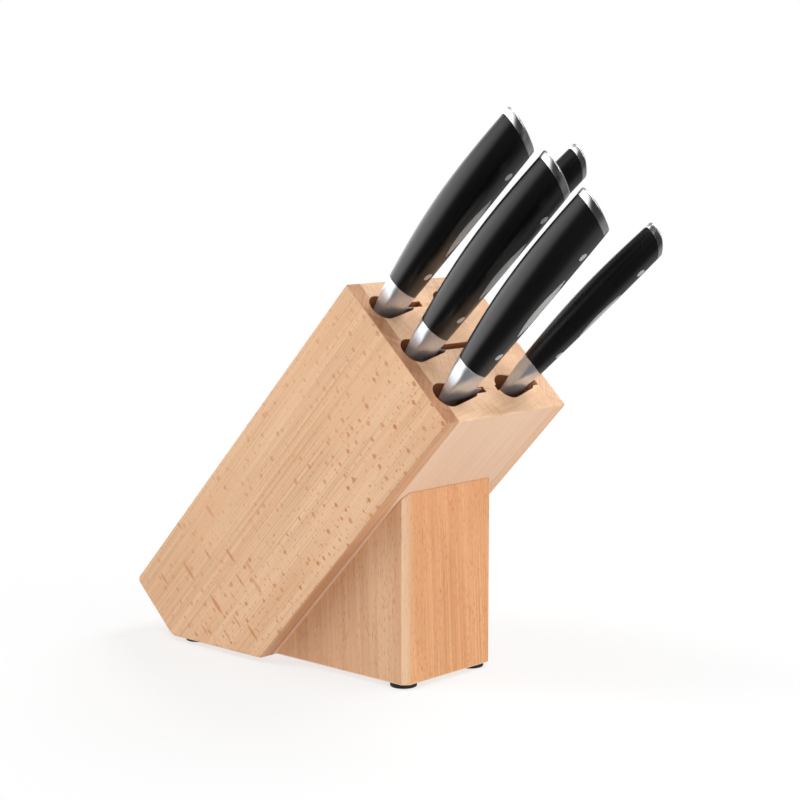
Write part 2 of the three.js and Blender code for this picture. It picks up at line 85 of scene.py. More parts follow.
# ---- Sizes that differ from the CAD model ----
SLOT_HALF_THICKNESS = 1.65
STAND_CHAMFER = 3.0
STAND_FOOT_RADIUS = 0.6
STAND_CROWN_BEVEL = 0.9
HEEL_SLOPE = 0.28  # how far a heel runs towards the point, per millimetre towards the edge
HEEL_EASE = 14.0  # the length over which that slope fades out

LARGE_HANDLE = dict(
    length=99.0, neck_height=20.0, butt_height=27.5, neck_thickness=13.5, butt_thickness=17.0,
    bulge=3.3, arch=2.8, drop=2.2, neck_centre=6.7, heel_depth=16.0, bolster_depth=27.0,
    bolster_foot=24.0, tang_width=10.0, cap_thickness=5.6, first_rivet=14.3, last_rivet=17.3,
    rivet_offset=1.2, rivet_drift=2.8, inlay_width=8.0, mouth_lead=4.3, mouth_trail=0.7,
)
SMALL_HANDLE = dict(
    length=84.5, neck_height=16.0, butt_height=19.5, neck_thickness=10.8, butt_thickness=12.6,
    bulge=2.4, arch=2.0, drop=1.6, neck_centre=6.0, heel_depth=14.0, bolster_depth=24.0,
    bolster_foot=18.8, tang_width=8.0, cap_thickness=4.6, first_rivet=13.0, last_rivet=13.0,
    rivet_offset=2.4, rivet_drift=0.0, inlay_width=6.0, mouth_lead=5.4, mouth_trail=2.3,
)


def knife(name, row, slot_start, slot_width, slot_depth, spine_at_top, lean, handle, seat, **blade):
    return dict(name=name, row=ROW_PLACES[row], slot_start=slot_start, slot_width=slot_width,
                slot_depth=slot_depth, spine_at_top=spine_at_top, lean=math.radians(lean),
                handle=handle, seat=seat, blade=blade)


KNIVES = [
    knife("bread_knife", 2, -36.0, 32.0, 214.7, -35.0, 0.0, LARGE_HANDLE, 14.3,
          length=205.0, height=30.0, point_depth=7.0, belly=9.0, spine=6.0, teeth=6.0, heel=26.0),
    knife("chef_knife", 1, -36.0, 49.0, 209.3, -35.0, 0.0, LARGE_HANDLE, 14.7,
          length=200.0, height=47.0, point_depth=11.0, belly=2.6, spine=2.4, teeth=0.0, heel=27.0),
    knife("carving_knife", 0, -36.0, 32.2, 179.1, -35.0, -1.5, LARGE_HANDLE, 19.9,
          length=175.0, height=29.0, point_depth=9.0, belly=4.0, spine=3.0, teeth=0.0, heel=14.0),
    knife("paring_knife", 2, 7.5, 28.5, 98.0, 12.6, 9.0, SMALL_HANDLE, 12.0,
          length=88.0, height=19.5, point_depth=13.0, belly=3.0, spine=2.0, teeth=0.0, heel=16.0),
    knife("utility_knife", 0, 5.0, 31.0, 113.9, 11.6, 10.3, SMALL_HANDLE, 16.1,
          length=108.0, height=20.5, point_depth=15.0, belly=3.5, spine=2.0, teeth=0.0, heel=16.0),
]

# ---- Fineness and clearances of the visible meshes ----
SEAM = 0.04
GROOVE = 0.14  # depth and height of the step where a bolster meets its grip
PLAY = 0.2  # room around the tang
OVERSHOOT = 20.0  # how far a raw end or a cutter runs past what is kept
ARRIS = 1.0
RIM = 0.45
RIVET_SEAM = 0.1
INLAY_SEAM = 0.14
ARC_STEP = math.radians(7.5)
GRIP_RINGS = 90
GRIP_POINTS = 72

# The block's top front edge is the foremost of its left side, which is half a block from the middle.
side_points = [v.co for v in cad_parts["left_cheek"].data.vertices]
front_edge = min(side_points, key=lambda co: co.y)
BLOCK_MIDDLE = min(co.x for co in side_points) / MM + BLOCK_HALF_WIDTH
FRONT_EDGE_HEIGHT = front_edge.z / MM
BLOCK_FRAME = (Matrix.Translation((BLOCK_MIDDLE * MM, front_edge.y, front_edge.z))
               @ Matrix.Rotation(BLOCK_TILT, 4, "X"))


def lerp(a, b, share):
    return a + (b - a) * share


# ---- Meshes ----

def loft(rings, caps=True):
    """(vertices, faces) of closed rings of equal count joined end to end."""
    count = len(rings[0])
    verts = [tuple(p) for ring in rings for p in ring]
    faces = []
    for r in range(len(rings) - 1):
        for i in range(count):
            j = (i + 1) % count
            faces.append((r * count + i, r * count + j, (r + 1) * count + j, (r + 1) * count + i))
    if caps:
        faces.append(tuple(reversed(range(count))))
        faces.append(tuple(range((len(rings) - 1) * count, len(rings) * count)))
    return verts, faces


def solid(name, shape, matrix=None):
    """An object from (vertices, faces) in millimetres, with its faces turned outward."""
    verts, faces = shape
    bm = bmesh.new()
    made = [bm.verts.new(Vector(v) * MM) for v in verts]
    for face in faces:
        bm.faces.new([made[i] for i in face])
    bmesh.ops.remove_doubles(bm, verts=bm.verts, dist=1e-8)
    bmesh.ops.recalc_face_normals(bm, faces=bm.faces)
    mesh = bpy.data.meshes.new(name)
    bm.to_mesh(mesh)
    bm.free()
    obj = bpy.data.objects.new(name, mesh)
    bpy.context.scene.collection.objects.link(obj)
    if matrix is not None:
        obj.matrix_world = matrix
    return obj


def bake_modifiers(obj):
    bpy.context.view_layer.update()
    graph = bpy.context.evaluated_depsgraph_get()
    mesh = bpy.data.meshes.new_from_object(obj.evaluated_get(graph))
    old = obj.data
    obj.modifiers.clear()
    obj.data = mesh
    mesh.name = obj.name
    bpy.data.meshes.remove(old)


def combine(obj, others, operation="DIFFERENCE"):
    """Cuts the others from obj, or joins them to it, and removes them."""
    for other in others:
        modifier = obj.modifiers.new("combine", "BOOLEAN")
        modifier.object = other
        modifier.operation = operation
        modifier.solver = "EXACT"
    bake_modifiers(obj)
    for other in others:
        mesh = other.data
        bpy.data.objects.remove(other, do_unlink=True)
        bpy.data.meshes.remove(mesh)
    return obj


def shade(obj, sharp=35.0, weighted=False):
    obj.data.polygons.foreach_set("use_smooth", [True] * len(obj.data.polygons))
    obj.data.set_sharp_from_angle(angle=math.radians(sharp))
    if weighted:
        modifier = obj.modifiers.new("flat faces", "WEIGHTED_NORMAL")
        modifier.keep_sharp = True
        modifier.weight = 100
        bake_modifiers(obj)


def paint(obj, materials, rule=None):
    """Gives obj its materials, and each face the index that rule(centre, normal) returns."""
    obj.data.materials.clear()
    for material in materials:
        obj.data.materials.append(material)
    for polygon in obj.data.polygons:
        polygon.material_index = rule(polygon.center / MM, polygon.normal) if rule else 0


def place(obj, body, node):
    """Hands a piece to the frame. Its materials keep the piece's own coordinates."""
    own = obj.data.attributes.new(OWN_PLACE, "FLOAT_VECTOR", "POINT")
    own.data.foreach_set("vector", [c / MM for vertex in obj.data.vertices for c in vertex.co])
    obj.data.transform(obj.matrix_world)
    obj.matrix_world = Matrix.Identity(4)
    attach(obj, body)
    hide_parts(node)


# ---- Outlines ----

def rounded(corners, inset=0.0):
    """A convex outline, counter-clockwise, from (x, y, radius) corners, moved inward by inset."""
    count = len(corners)
    lines = []
    for i, (x, y, _) in enumerate(corners):
        after = corners[(i + 1) % count]
        along = Vector((after[0] - x, after[1] - y)).normalized()
        inward = Vector((-along.y, along.x))
        lines.append((Vector((x, y)) + inward * inset, along))
    points = []
    for i, (_, _, radius) in enumerate(corners):
        start, before = lines[i - 1]
        end, after = lines[i]
        turn = before.x * after.y - before.y * after.x
        offset = end - start
        reach = (offset.x * after.y - offset.y * after.x) / turn
        corner = start + before * reach
        r = max(radius - inset, 0.05)
        angle = before.angle(after)
        tangent = r * math.tan(angle / 2)
        centre = corner - before * tangent + Vector((-before.y, before.x)) * r
        steps = max(4, math.ceil(angle / ARC_STEP)) if radius > 0 else 1
        first = math.atan2(*(corner - before * tangent - centre).yx)
        for step in range(steps + 1):
            a = first + angle * step / steps
            points.append(centre + Vector((math.cos(a), math.sin(a))) * r)
    return points


def clipped(points, low, high):
    """The part of a convex outline whose first coordinate lies between low and high."""
    for limit, sign in ((low, 1.0), (high, -1.0)):
        kept = []
        for i, here in enumerate(points):
            before = points[i - 1]
            d_here = sign * (here.x - limit)
            d_before = sign * (before.x - limit)
            if (d_here >= 0) != (d_before >= 0):
                kept.append(before.lerp(here, d_before / (d_before - d_here)))
            if d_here >= 0:
                kept.append(here)
        points = kept
    return points


def block_corners():
    front = (BASE_HEIGHT - FRONT_EDGE_HEIGHT) / math.cos(BLOCK_TILT)
    back = (BASE_HEIGHT - FRONT_EDGE_HEIGHT + BLOCK_LENGTH * math.cos(BLOCK_TILT)) / math.sin(BLOCK_TILT)
    return [
        (0.0, 0.0, ARRIS), (0.0, front, 1.2), (back, -BLOCK_LENGTH, BOTTOM_EDGE_RADIUS),
        (BLOCK_DEPTH, -BLOCK_LENGTH, BACK_EDGE_RADIUS), (BLOCK_DEPTH, 0.0, ARRIS),
    ]


def quarter_round(radius, steps=4):
    """(depth, growth) pairs of a quarter circle, from its foot to its rim."""
    turns = [math.pi / 2 * i / steps for i in range(steps + 1)]
    return [(radius * (1 - math.sin(a)), radius * (1 - math.cos(a))) for a in turns]


# ---- Block ----

def make_cheek(side):
    sign = -1.0 if side == "left" else 1.0
    rings = [[(sign * (CORE_HALF_WIDTH + SEAM / 2), p.x, p.y) for p in rounded(block_corners())]]
    for depth, growth in quarter_round(ARRIS):
        rings.append([(sign * (BLOCK_HALF_WIDTH - depth), p.x, p.y)
                      for p in rounded(block_corners(), growth)])
    cheek = solid(f"{side}_cheek_beech", loft(rings), BLOCK_FRAME)
    near = [item for item in KNIVES if (item["spine_at_top"] < 0) == (side == "left")]
    return combine(cheek, [mouth_cutter(item) for item in near])


def rim_stations(depth):
    """(z, growth) pairs down an opening whose rim in the top face is rounded."""
    stations = [(1.0, RIM + 1e-3), (1e-3, RIM + 1e-3)]
    stations += [(-d, g) for d, g in reversed(quarter_round(RIM)[:-1])]
    return stations + [(-depth, 0.0)]


def slot_cutter(item):
    low = item["slot_start"]
    high = low + item["slot_width"]
    before = 1.0 if low <= -CORE_HALF_WIDTH else 0.0
    after = 1.0 if high >= CORE_HALF_WIDTH else 0.0
    rings = []
    for z, g in rim_stations(item["slot_depth"]):
        x0 = low - g - before
        x1 = high + g + after
        y0 = item["row"] - SLOT_HALF_THICKNESS - g
        y1 = item["row"] + SLOT_HALF_THICKNESS + g
        rings.append([(x0, y0, z), (x1, y0, z), (x1, y1, z), (x0, y1, z)])
    return solid("slot_cutter", loft(rings), BLOCK_FRAME)


def arc(x, y, radius, first, last, steps):
    turns = [lerp(first, last, i / steps) for i in range(steps + 1)]
    return [(x + radius * math.cos(a), y + radius * math.sin(a)) for a in turns]


def mouth_cutter(item):
    """A large round under the spine that narrows towards the edge."""
    handle = item["handle"]
    wide = item["spine_at_top"] - handle["mouth_lead"] + MOUTH_RADIUS
    narrow = item["spine_at_top"] + handle["bolster_foot"] + handle["mouth_trail"] - MOUTH_END_RADIUS
    turn = math.acos((MOUTH_RADIUS - MOUTH_END_RADIUS) / (narrow - wide))
    rings = []
    for z, g in rim_stations(MOUTH_DEPTH):
        outline = arc(wide, item["row"], MOUTH_RADIUS + g, turn, 2 * math.pi - turn, 45)
        outline += arc(narrow, item["row"], MOUTH_END_RADIUS + g, -turn, turn, 17)
        rings.append([(x, y, z) for x, y in outline])
    return solid("mouth_cutter", loft(rings), BLOCK_FRAME)


def dowel_cutters():
    """Round holes for both dowels, which stand across the block's front face."""
    cutters = []
    for node in ("upper_dowel", "lower_dowel"):
        low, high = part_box(node)
        middle = BLOCK_FRAME.inverted() @ ((low + high) / 2) / MM
        rings = []
        for y in (middle.y - DOWEL_REACH, middle.y + DOWEL_REACH):
            rings.append([(DOWEL_HOLE_RADIUS * math.cos(a), y, middle.z + DOWEL_HOLE_RADIUS * math.sin(a))
                          for a in (2 * math.pi * (i + 0.5) / 40 for i in range(40))])
        cutters.append(solid("dowel_cutter", loft(rings), BLOCK_FRAME))
    return cutters


def make_board(number):
    seams = (-1.0,) + ROW_PLACES + (BLOCK_DEPTH + 1.0,)
    low = seams[number] + SEAM / 2
    high = seams[number + 1] - SEAM / 2
    outline = clipped(rounded(block_corners()), low, high)
    half = CORE_HALF_WIDTH - SEAM / 2
    rings = [[(x, p.x, p.y) for p in outline] for x in (-half, half)]
    board = solid(f"core_board_{number + 1}_beech", loft(rings), BLOCK_FRAME)
    cutters = []
    for item in KNIVES:
        if low - 1.0 < item["row"] < high + 1.0:
            cutters += [slot_cutter(item), mouth_cutter(item)]
    if number == 0:
        cutters += dowel_cutters()
    return combine(board, cutters)


def make_stand():
    r = STAND_CHAMFER
    half = STAND_HALF_WIDTH
    low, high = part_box("stand")
    front = low.y / MM
    back = high.y / MM + OVERSHOOT
    base = low.z / MM
    left = BLOCK_MIDDLE - half
    right = BLOCK_MIDDLE + half
    corners = [(left, back, 0.0), (left, front + r, 0.5), (left + r, front, 0.5), (right - r, front, 0.8),
               (right, front + r, 0.8), (right, back, 0.0)]
    outline = rounded(corners)
    foot = quarter_round(STAND_FOOT_RADIUS, 3)
    rings = []
    for depth, growth in reversed(foot):
        rings.append([(p.x, p.y, base + depth) for p in rounded(corners, growth)])
    rings.append([(p.x, p.y, high.z / MM + OVERSHOOT) for p in outline])
    stand = solid("stand_beech", loft(rings))
    # The block's sloping front face is where the wedge ends.
    normal = BLOCK_FRAME.to_3x3() @ Vector((0.0, 1.0, 0.0))
    on_face = BLOCK_FRAME.translation - normal * (SEAM * MM)
    bm = bmesh.new()
    bm.from_mesh(stand.data)
    cut = bmesh.ops.bisect_plane(
        bm, geom=bm.verts[:] + bm.edges[:] + bm.faces[:], plane_co=on_face, plane_no=normal,
        clear_outer=True)
    seam = [e for e in cut["geom_cut"] if isinstance(e, bmesh.types.BMEdge)]
    bmesh.ops.contextual_create(bm, geom=seam)
    crown = [e for e in seam if e.is_valid and min(v.co.z for v in e.verts) > (high.z - 0.008)]
    bmesh.ops.bevel(bm, geom=crown, offset=STAND_CROWN_BEVEL * MM, segments=3, profile=0.5, affect="EDGES",
                    clamp_overlap=False)
    bmesh.ops.recalc_face_normals(bm, faces=bm.faces)
    bm.to_mesh(stand.data)
    bm.free()
    return combine(stand, dowel_cutters())


def make_foot(node):
    low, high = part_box(node)
    middle = (low + high) / 2 / MM
    profile = [(FOOT_RADIUS - 3.2, 0.25), (FOOT_RADIUS - 2.4, 0.0), (FOOT_RADIUS - 0.7, 0.0),
               (FOOT_RADIUS - 0.3, 0.1), (FOOT_RADIUS - 0.08, 0.35), (FOOT_RADIUS, 0.75),
               (FOOT_RADIUS, FOOT_HEIGHT - 0.5), (FOOT_RADIUS - 0.12, FOOT_HEIGHT - 0.2),
               (FOOT_RADIUS - 0.4, FOOT_HEIGHT)]
    rings = [[(middle.x + radius * math.cos(a), middle.y + radius * math.sin(a), z)
              for a in (2 * math.pi * i / 64 for i in range(64))] for radius, z in profile]
    return solid(f"{node}_pad", loft(rings))


# ---- Knives ----

def grip_section(handle, share):
    wave = math.sin(math.pi * share)
    ease = 1 - (1 - share) ** 2
    return dict(
        centre=handle["neck_centre"] + handle["drop"] * share - handle["arch"] * wave,
        half_height=lerp(handle["neck_height"], handle["butt_height"], ease) / 2,
        half_thickness=(lerp(handle["neck_thickness"], handle["butt_thickness"], share)
                        + handle["bulge"] * wave) / 2,
        z=handle["length"] * share,
        slant=lerp(NECK_SLANT, BUTT_SLANT, share),
    )


def section_ring(section, count=GRIP_POINTS, spine_power=SECTION_POWER, edge_power=SECTION_POWER,
                 inset=0.0, rise=0.0):
    """A handle's section. Its spine side can be squarer than its edge side."""
    ring = []
    half_height = section["half_height"] - inset
    half_thickness = section["half_thickness"] - inset
    for i in range(count):
        a = 2 * math.pi * i / count
        c, s = math.cos(a), math.sin(a)
        power = spine_power if c < 0 else edge_power
        x = half_height * math.copysign(abs(c) ** (2 / power), c)
        y = half_thickness * math.copysign(abs(s) ** (2 / power), s)
        ring.append((section["centre"] + x, y, section["z"] + rise - section["slant"] * x))
    return ring


def half_thickness_at(handle, x, z):
    """Half of the grip's thickness at a point of its side view."""
    share = z / handle["length"]
    for _ in range(6):
        section = grip_section(handle, share)
        share = (z + section["slant"] * (x - section["centre"])) / handle["length"]
    section = grip_section(handle, share)
    off = min(abs(x - section["centre"]) / section["half_height"], 0.999)
    return section["half_thickness"] * (1 - off ** SECTION_POWER) ** (1 / SECTION_POWER)


def rivet_places(handle):
    return handle["first_rivet"], handle["length"] - handle["last_rivet"]


def rivet_line(handle, z):
    """The line of the rivets, along the middle of the tang: its distance from the spine."""
    front, rear = rivet_places(handle)
    drift = handle["rivet_drift"] * (z - front) / (rear - front)
    return handle["neck_centre"] + handle["rivet_offset"] + drift


def inlay_span(handle):
    front, rear = rivet_places(handle)
    return (front + rear) / 2, (rear - front) / 2 - INLAY_MARGIN


def inlay_patch(handle, side, grow, above, below, soften):
    """A pointed oval that follows the grip's broad face, from below it to above it."""
    middle, half = inlay_span(handle)
    half += 3 * grow
    sign = -1.0 if side == "front" else 1.0
    rows, columns = 48, 9
    rings = []
    for i in range(rows + 1):
        u = -0.985 + 1.97 * i / rows
        width = handle["inlay_width"] / 2 * (1 - u * u) + grow
        z = middle + half * u
        top, bottom = [], []
        for j in range(columns):
            v = -1 + 2 * j / (columns - 1)
            x = rivet_line(handle, z) + width * v
            surface = half_thickness_at(handle, x, z)
            fall = soften if abs(v) > 0.99 or i in (0, rows) else 0.0
            top.append((x, sign * (surface + above - fall), z))
            bottom.append((x, sign * (surface - below), z))
        rings.append(top + bottom[::-1])
    return loft(rings)


def rivet_bar(handle, z, radius, dome, reach=0.0):
    """A round bar through the grip whose ends follow its faces and are a little domed."""
    count = 40
    rings = []
    ends = [(0.02, 1.0), (0.5, 0.75), (0.9, 0.19), (0.985, -0.2), (1.0, -1.0)]
    for sign, order in ((-1.0, ends), (1.0, ends[::-1])):
        for scale, crown in order:
            ring = []
            for i in range(count):
                a = 2 * math.pi * i / count
                x = rivet_line(handle, z) + radius * scale * math.cos(a)
                zz = z + radius * scale * math.sin(a)
                ring.append((x, sign * (half_thickness_at(handle, x, zz) + reach + dome * crown), zz))
            rings.append(ring)
    return loft(rings)


def bar_rings(handle, play, start):
    """The flat tang inside a grip, from start to its end in the cap."""
    width = handle["tang_width"] / 2 + play
    thickness = TANG_THICKNESS / 2 + play
    foot = rivet_line(handle, start)
    crown = rivet_line(handle, handle["length"])
    butt = grip_section(handle, 1.0)
    end = handle["length"] + TANG_IN_CAP + play + BUTT_SLANT * (butt["centre"] - crown)
    rings = []
    for centre, z, slant in ((foot, start, 0.0), (crown, end, BUTT_SLANT)):
        rings.append([(centre + sx * width, sy * thickness, z - slant * sx * width)
                      for sx, sy in ((1, 1), (-1, 1), (-1, -1), (1, -1))])
    return rings


def make_grip(item, matrix):
    handle = item["handle"]
    rings = [section_ring(grip_section(handle, 0.0), inset=0.16, rise=SEAM / 2)]
    for i in range(GRIP_RINGS + 1):
        share = i / GRIP_RINGS
        rise = 0.16 if i == 0 else -0.16 if i == GRIP_RINGS else 0.0
        rings.append(section_ring(grip_section(handle, share), rise=rise))
    rings.append(section_ring(grip_section(handle, 1.0), inset=0.16, rise=-SEAM / 2))
    grip = solid(f"{item['name']}_grip_black", loft(rings), matrix)
    cutters = []
    for z in rivet_places(handle):
        cutters.append(solid("cut", rivet_bar(handle, z, RIVET_RADIUS + RIVET_SEAM, 0.0, 1.5), matrix))
    for side in ("front", "back"):
        cutters.append(solid("cut", inlay_patch(handle, side, INLAY_SEAM, 1.5, INLAY_DEPTH + 0.1, 0.0),
                             matrix))
    cutters.append(solid("cut", loft(bar_rings(handle, PLAY, -2.0)), matrix))
    return combine(grip, cutters)


def make_cap(item, matrix):
    handle = item["handle"]
    butt = grip_section(handle, 1.0)
    rise = handle["cap_thickness"]
    rings = [section_ring(butt, inset=0.12, rise=SEAM / 2), section_ring(butt, rise=0.14)]
    edge = 2.2
    flat = rise - 1.9
    for i in range(9):
        a = math.pi / 2 * i / 8
        rings.append(section_ring(butt, inset=edge * (1 - math.cos(a)), rise=flat + 1.35 * math.sin(a)))
    inner = min(butt["half_thickness"], butt["half_height"]) - edge
    for i in range(1, 7):
        share = i / 6
        rings.append(section_ring(butt, inset=edge + inner * 0.985 * share,
                                  rise=flat + 1.35 + 0.55 * (1 - (1 - share) ** 2)))
    cap = solid(f"{item['name']}_end_cap_steel", loft(rings), matrix)
    cutter = solid("cut", loft(bar_rings(handle, PLAY, handle["length"] - OVERSHOOT)), matrix)
    return combine(cap, [cutter])


def make_rivet(item, place_name, z, matrix):
    shape = rivet_bar(item["handle"], z, RIVET_RADIUS, 0.07)
    return solid(f"{item['name']}_{place_name}_rivet_steel", shape, matrix)


def make_inlay(item, side, matrix):
    shape = inlay_patch(item["handle"], side, 0.0, 0.0, INLAY_DEPTH, 0.12)
    return solid(f"{item['name']}_{side}_inlay_steel", shape, matrix)


def bolster_rings(handle):
    neck = grip_section(handle, 0.0)
    rings = []
    count = 36
    for i in range(count + 1):
        share = i / count
        left = (1 - share) ** 2
        spine_side = lerp(0.3, neck["centre"] - neck["half_height"], left)
        edge_side = lerp(neck["centre"] + neck["half_height"], handle["bolster_foot"], share)
        section = dict(
            centre=(spine_side + edge_side) / 2,
            half_height=(edge_side - spine_side) / 2,
            half_thickness=lerp(neck["half_thickness"], SPINE_THICKNESS / 2 - 0.3, share),
            z=-SEAM / 2 - (handle["bolster_depth"] - SEAM / 2) * share,
            slant=NECK_SLANT * left,
        )
        square = min(share / 0.45, 1.0)
        square = square * square * (3 - 2 * square)
        rings.append(section_ring(section, 64, lerp(SECTION_POWER, 5.5, square),
                                  lerp(SECTION_POWER, 2.2, square)))
        if i == 0:
            section = dict(section, half_height=section["half_height"] - GROOVE,
                           half_thickness=section["half_thickness"] - GROOVE)
            rings[0] = section_ring(section, 64)
            section = dict(section, half_height=section["half_height"] + GROOVE,
                           half_thickness=section["half_thickness"] + GROOVE,
                           z=section["z"] - GROOVE)
            rings.append(section_ring(section, 64))
    return rings


def blade_rings(item):
    """The ground blade, from its heel to its point."""
    handle, blade = item["handle"], item["blade"]
    teeth = blade["teeth"]
    count = 420 if teeth else 120
    rings = []
    for i in range(count + 1):
        share = i / count if teeth else 1 - (1 - i / count) ** 1.4
        spine = blade["point_depth"] * share ** blade["spine"]
        rise = (blade["height"] - blade["point_depth"] - TIP_HEIGHT) * share ** blade["belly"]
        edge = blade["height"] - rise
        along = blade["length"] * share
        z = -handle["heel_depth"] - along
        bevel = 1.1
        scallop = 0.0
        if teeth and 6.0 < along < blade["length"] - 10.0:
            phase = (along / teeth) % 1.0
            scallop = 1 - abs(2 * phase - 1) ** 2.2
            edge -= 0.95 * scallop
            bevel = 1.1 + 1.5 * scallop
        height = edge - spine
        bevel = min(bevel, height * 0.4)
        top = SPINE_THICKNESS / 2 * (1 - 0.42 * share ** 1.5)
        shoulder = EDGE_THICKNESS / 2 * (1 - 0.3 * share)
        mid = height * 0.45
        swell = lerp(top, shoulder, mid / (height - bevel)) + 0.06
        side = [
            (spine, top - 0.28), (spine + 0.1, top - 0.1), (spine + 0.32, top),
            (spine + mid, swell), (edge - bevel, shoulder), (edge - 0.12, 0.07), (edge, 0.015),
        ]
        sink = HEEL_SLOPE * max(0.0, 1 - along / HEEL_EASE)
        side = [(x, y, z - sink * max(0.0, x - blade["heel"])) for x, y in side]
        rings.append(side + [(x, -y, z) for x, y, z in reversed(side)])
    return rings


def make_blade(item, matrix):
    handle = item["handle"]
    steel = solid(f"{item['name']}_blade_steel", loft(blade_rings(item)), matrix)
    bolster = solid("join", loft(bolster_rings(handle)), matrix)
    tang = solid("join", loft(bar_rings(handle, 0.0, -handle["heel_depth"] / 2)), matrix)
    return combine(steel, [bolster, tang], "UNION")


# ---- Materials ----

class Surface:
    """A procedural material, with short names for the nodes that it uses."""

    def __init__(self, name, own_place=True):
        self.own_place = own_place
        self.material = bpy.data.materials.new(name)
        self.material.use_nodes = True
        self.tree = self.material.node_tree
        self.tree.nodes.clear()
        self.shader = self.node("ShaderNodeBsdfPrincipled")
        output = self.node("ShaderNodeOutputMaterial")
        self.tree.links.new(self.shader.outputs[0], output.inputs[0])

    def node(self, kind, inputs=None, **settings):
        node = self.tree.nodes.new(kind)
        for key, value in settings.items():
            setattr(node, key, value)
        for key, value in (inputs or {}).items():
            self.feed(node.inputs[key], value)
        return node

    def feed(self, socket, value):
        if isinstance(value, bpy.types.NodeSocket):
            self.tree.links.new(value, socket)
        else:
            socket.default_value = value

    def set(self, **inputs):
        for key, value in inputs.items():
            self.feed(self.shader.inputs[key.replace("_", " ")], value)
        return self

    def place(self, scale=(1, 1, 1), turn=(0, 0, 0), move=(0, 0, 0)):
        """The piece's own coordinates in millimetres, turned, moved and then stretched."""
        if self.own_place:
            coordinates = self.node("ShaderNodeAttribute", attribute_name=OWN_PLACE).outputs["Vector"]
            unit = 1.0
        else:
            coordinates = self.node("ShaderNodeTexCoord").outputs["Object"]
            unit = 1 / MM
        turned = self.node("ShaderNodeMapping", {
            0: coordinates, "Rotation": turn, "Scale": (unit,) * 3, "Location": move})
        return self.node("ShaderNodeMapping", {0: turned.outputs[0], "Scale": scale}).outputs[0]

    def noise(self, vector, scale=1.0, detail=3.0, roughness=0.5, distortion=0.0):
        return self.node("ShaderNodeTexNoise", {
            "Vector": vector, "Scale": scale, "Detail": detail, "Roughness": roughness,
            "Distortion": distortion}).outputs["Fac"]

    def flat(self, vector):
        """A vector's y and z as x and y."""
        _, y, z = self.node("ShaderNodeSeparateXYZ", {0: vector}).outputs
        return self.node("ShaderNodeCombineXYZ", {0: y, 1: z}).outputs[0]

    def marks(self, vector, pitch, half_length, half_width, share, wobble):
        """Lens-shaped marks that lie along a flat vector's x, in a share of cells of one pitch.

        Returns how strong the mark is and the random colour of its cell.
        """
        scaled = self.node("ShaderNodeVectorMath", {0: vector, 1: (1 / pitch,) * 3}, operation="MULTIPLY")
        cell = self.node("ShaderNodeTexVoronoi", {"Vector": scaled.outputs[0], "Scale": 1.0,
                                                  "Randomness": 1.0}, voronoi_dimensions="2D")
        away = self.node("ShaderNodeVectorMath", {0: scaled.outputs[0], 1: cell.outputs["Position"]},
                         operation="SUBTRACT").outputs[0]
        along, across, _ = self.node("ShaderNodeSeparateXYZ", {0: away}).outputs
        along = self.math("ABSOLUTE", self.math("MULTIPLY", along, pitch / half_length))
        along = self.math("POWER", along, 2.0)
        across = self.math("ABSOLUTE", self.math("MULTIPLY", across, pitch / half_width))
        lens = self.math("ADD", along, across)
        ragged = self.noise(vector, 1.0, 2.0)
        lens = self.math("ADD", lens, self.math("MULTIPLY", self.math("SUBTRACT", ragged, 0.5), wobble))
        tint = self.split(cell.outputs["Color"])
        size = self.ramp(tint[0], 1 - share, 1.0, 0.25, 1.0)
        mark = self.node("ShaderNodeMapRange", {
            "Value": lens, "From Min": self.math("MULTIPLY", size, 0.45), "From Max": size,
            "To Min": 1.0, "To Max": 0.0}, interpolation_type="SMOOTHSTEP").outputs[0]
        return self.math("MULTIPLY", mark, self.ramp(tint[0], 1 - share, 1 - share + 0.02)), tint

    def math(self, operation, a, b=0.0):
        node = self.node("ShaderNodeMath", operation=operation)
        self.feed(node.inputs[0], a)
        self.feed(node.inputs[1], b)
        return node.outputs[0]

    def ramp(self, value, low, high, to_low=0.0, to_high=1.0):
        return self.node("ShaderNodeMapRange", {
            "Value": value, "From Min": low, "From Max": high, "To Min": to_low, "To Max": to_high},
            interpolation_type="SMOOTHSTEP").outputs[0]

    def mix(self, share, a, b):
        node = self.node("ShaderNodeMix", data_type="RGBA")
        self.feed(node.inputs[0], share)
        self.feed(node.inputs[6], rgba(a))
        self.feed(node.inputs[7], rgba(b))
        return node.outputs[2]

    def split(self, colour):
        return self.node("ShaderNodeSeparateColor", {0: colour}).outputs

    def bump(self, height, distance, strength=1.0):
        """distance is in millimetres."""
        normal = self.node("ShaderNodeBump", {
            "Height": height, "Distance": distance * MM, "Strength": strength})
        self.feed(self.shader.inputs["Normal"], normal.outputs[0])
        return self


def rgba(colour):
    if isinstance(colour, tuple) and len(colour) == 3:
        return colour + (1.0,)
    return colour


def srgb(r, g, b):
    """A colour as a screen shows it, 0 to 255, to linear light."""
    return tuple(((c / 255 + 0.055) / 1.055) ** 2.4 if c > 10 else c / 255 / 12.92 for c in (r, g, b))


# The flecks of beech: pitch, half length, half width, share of cells that hold one, and strength.
LARGE_FLECKS = (6.4, 1.9, 1.5, 0.6, 0.95)
SMALL_FLECKS = (3.1, 1.1, 0.75, 0.62, 0.6)


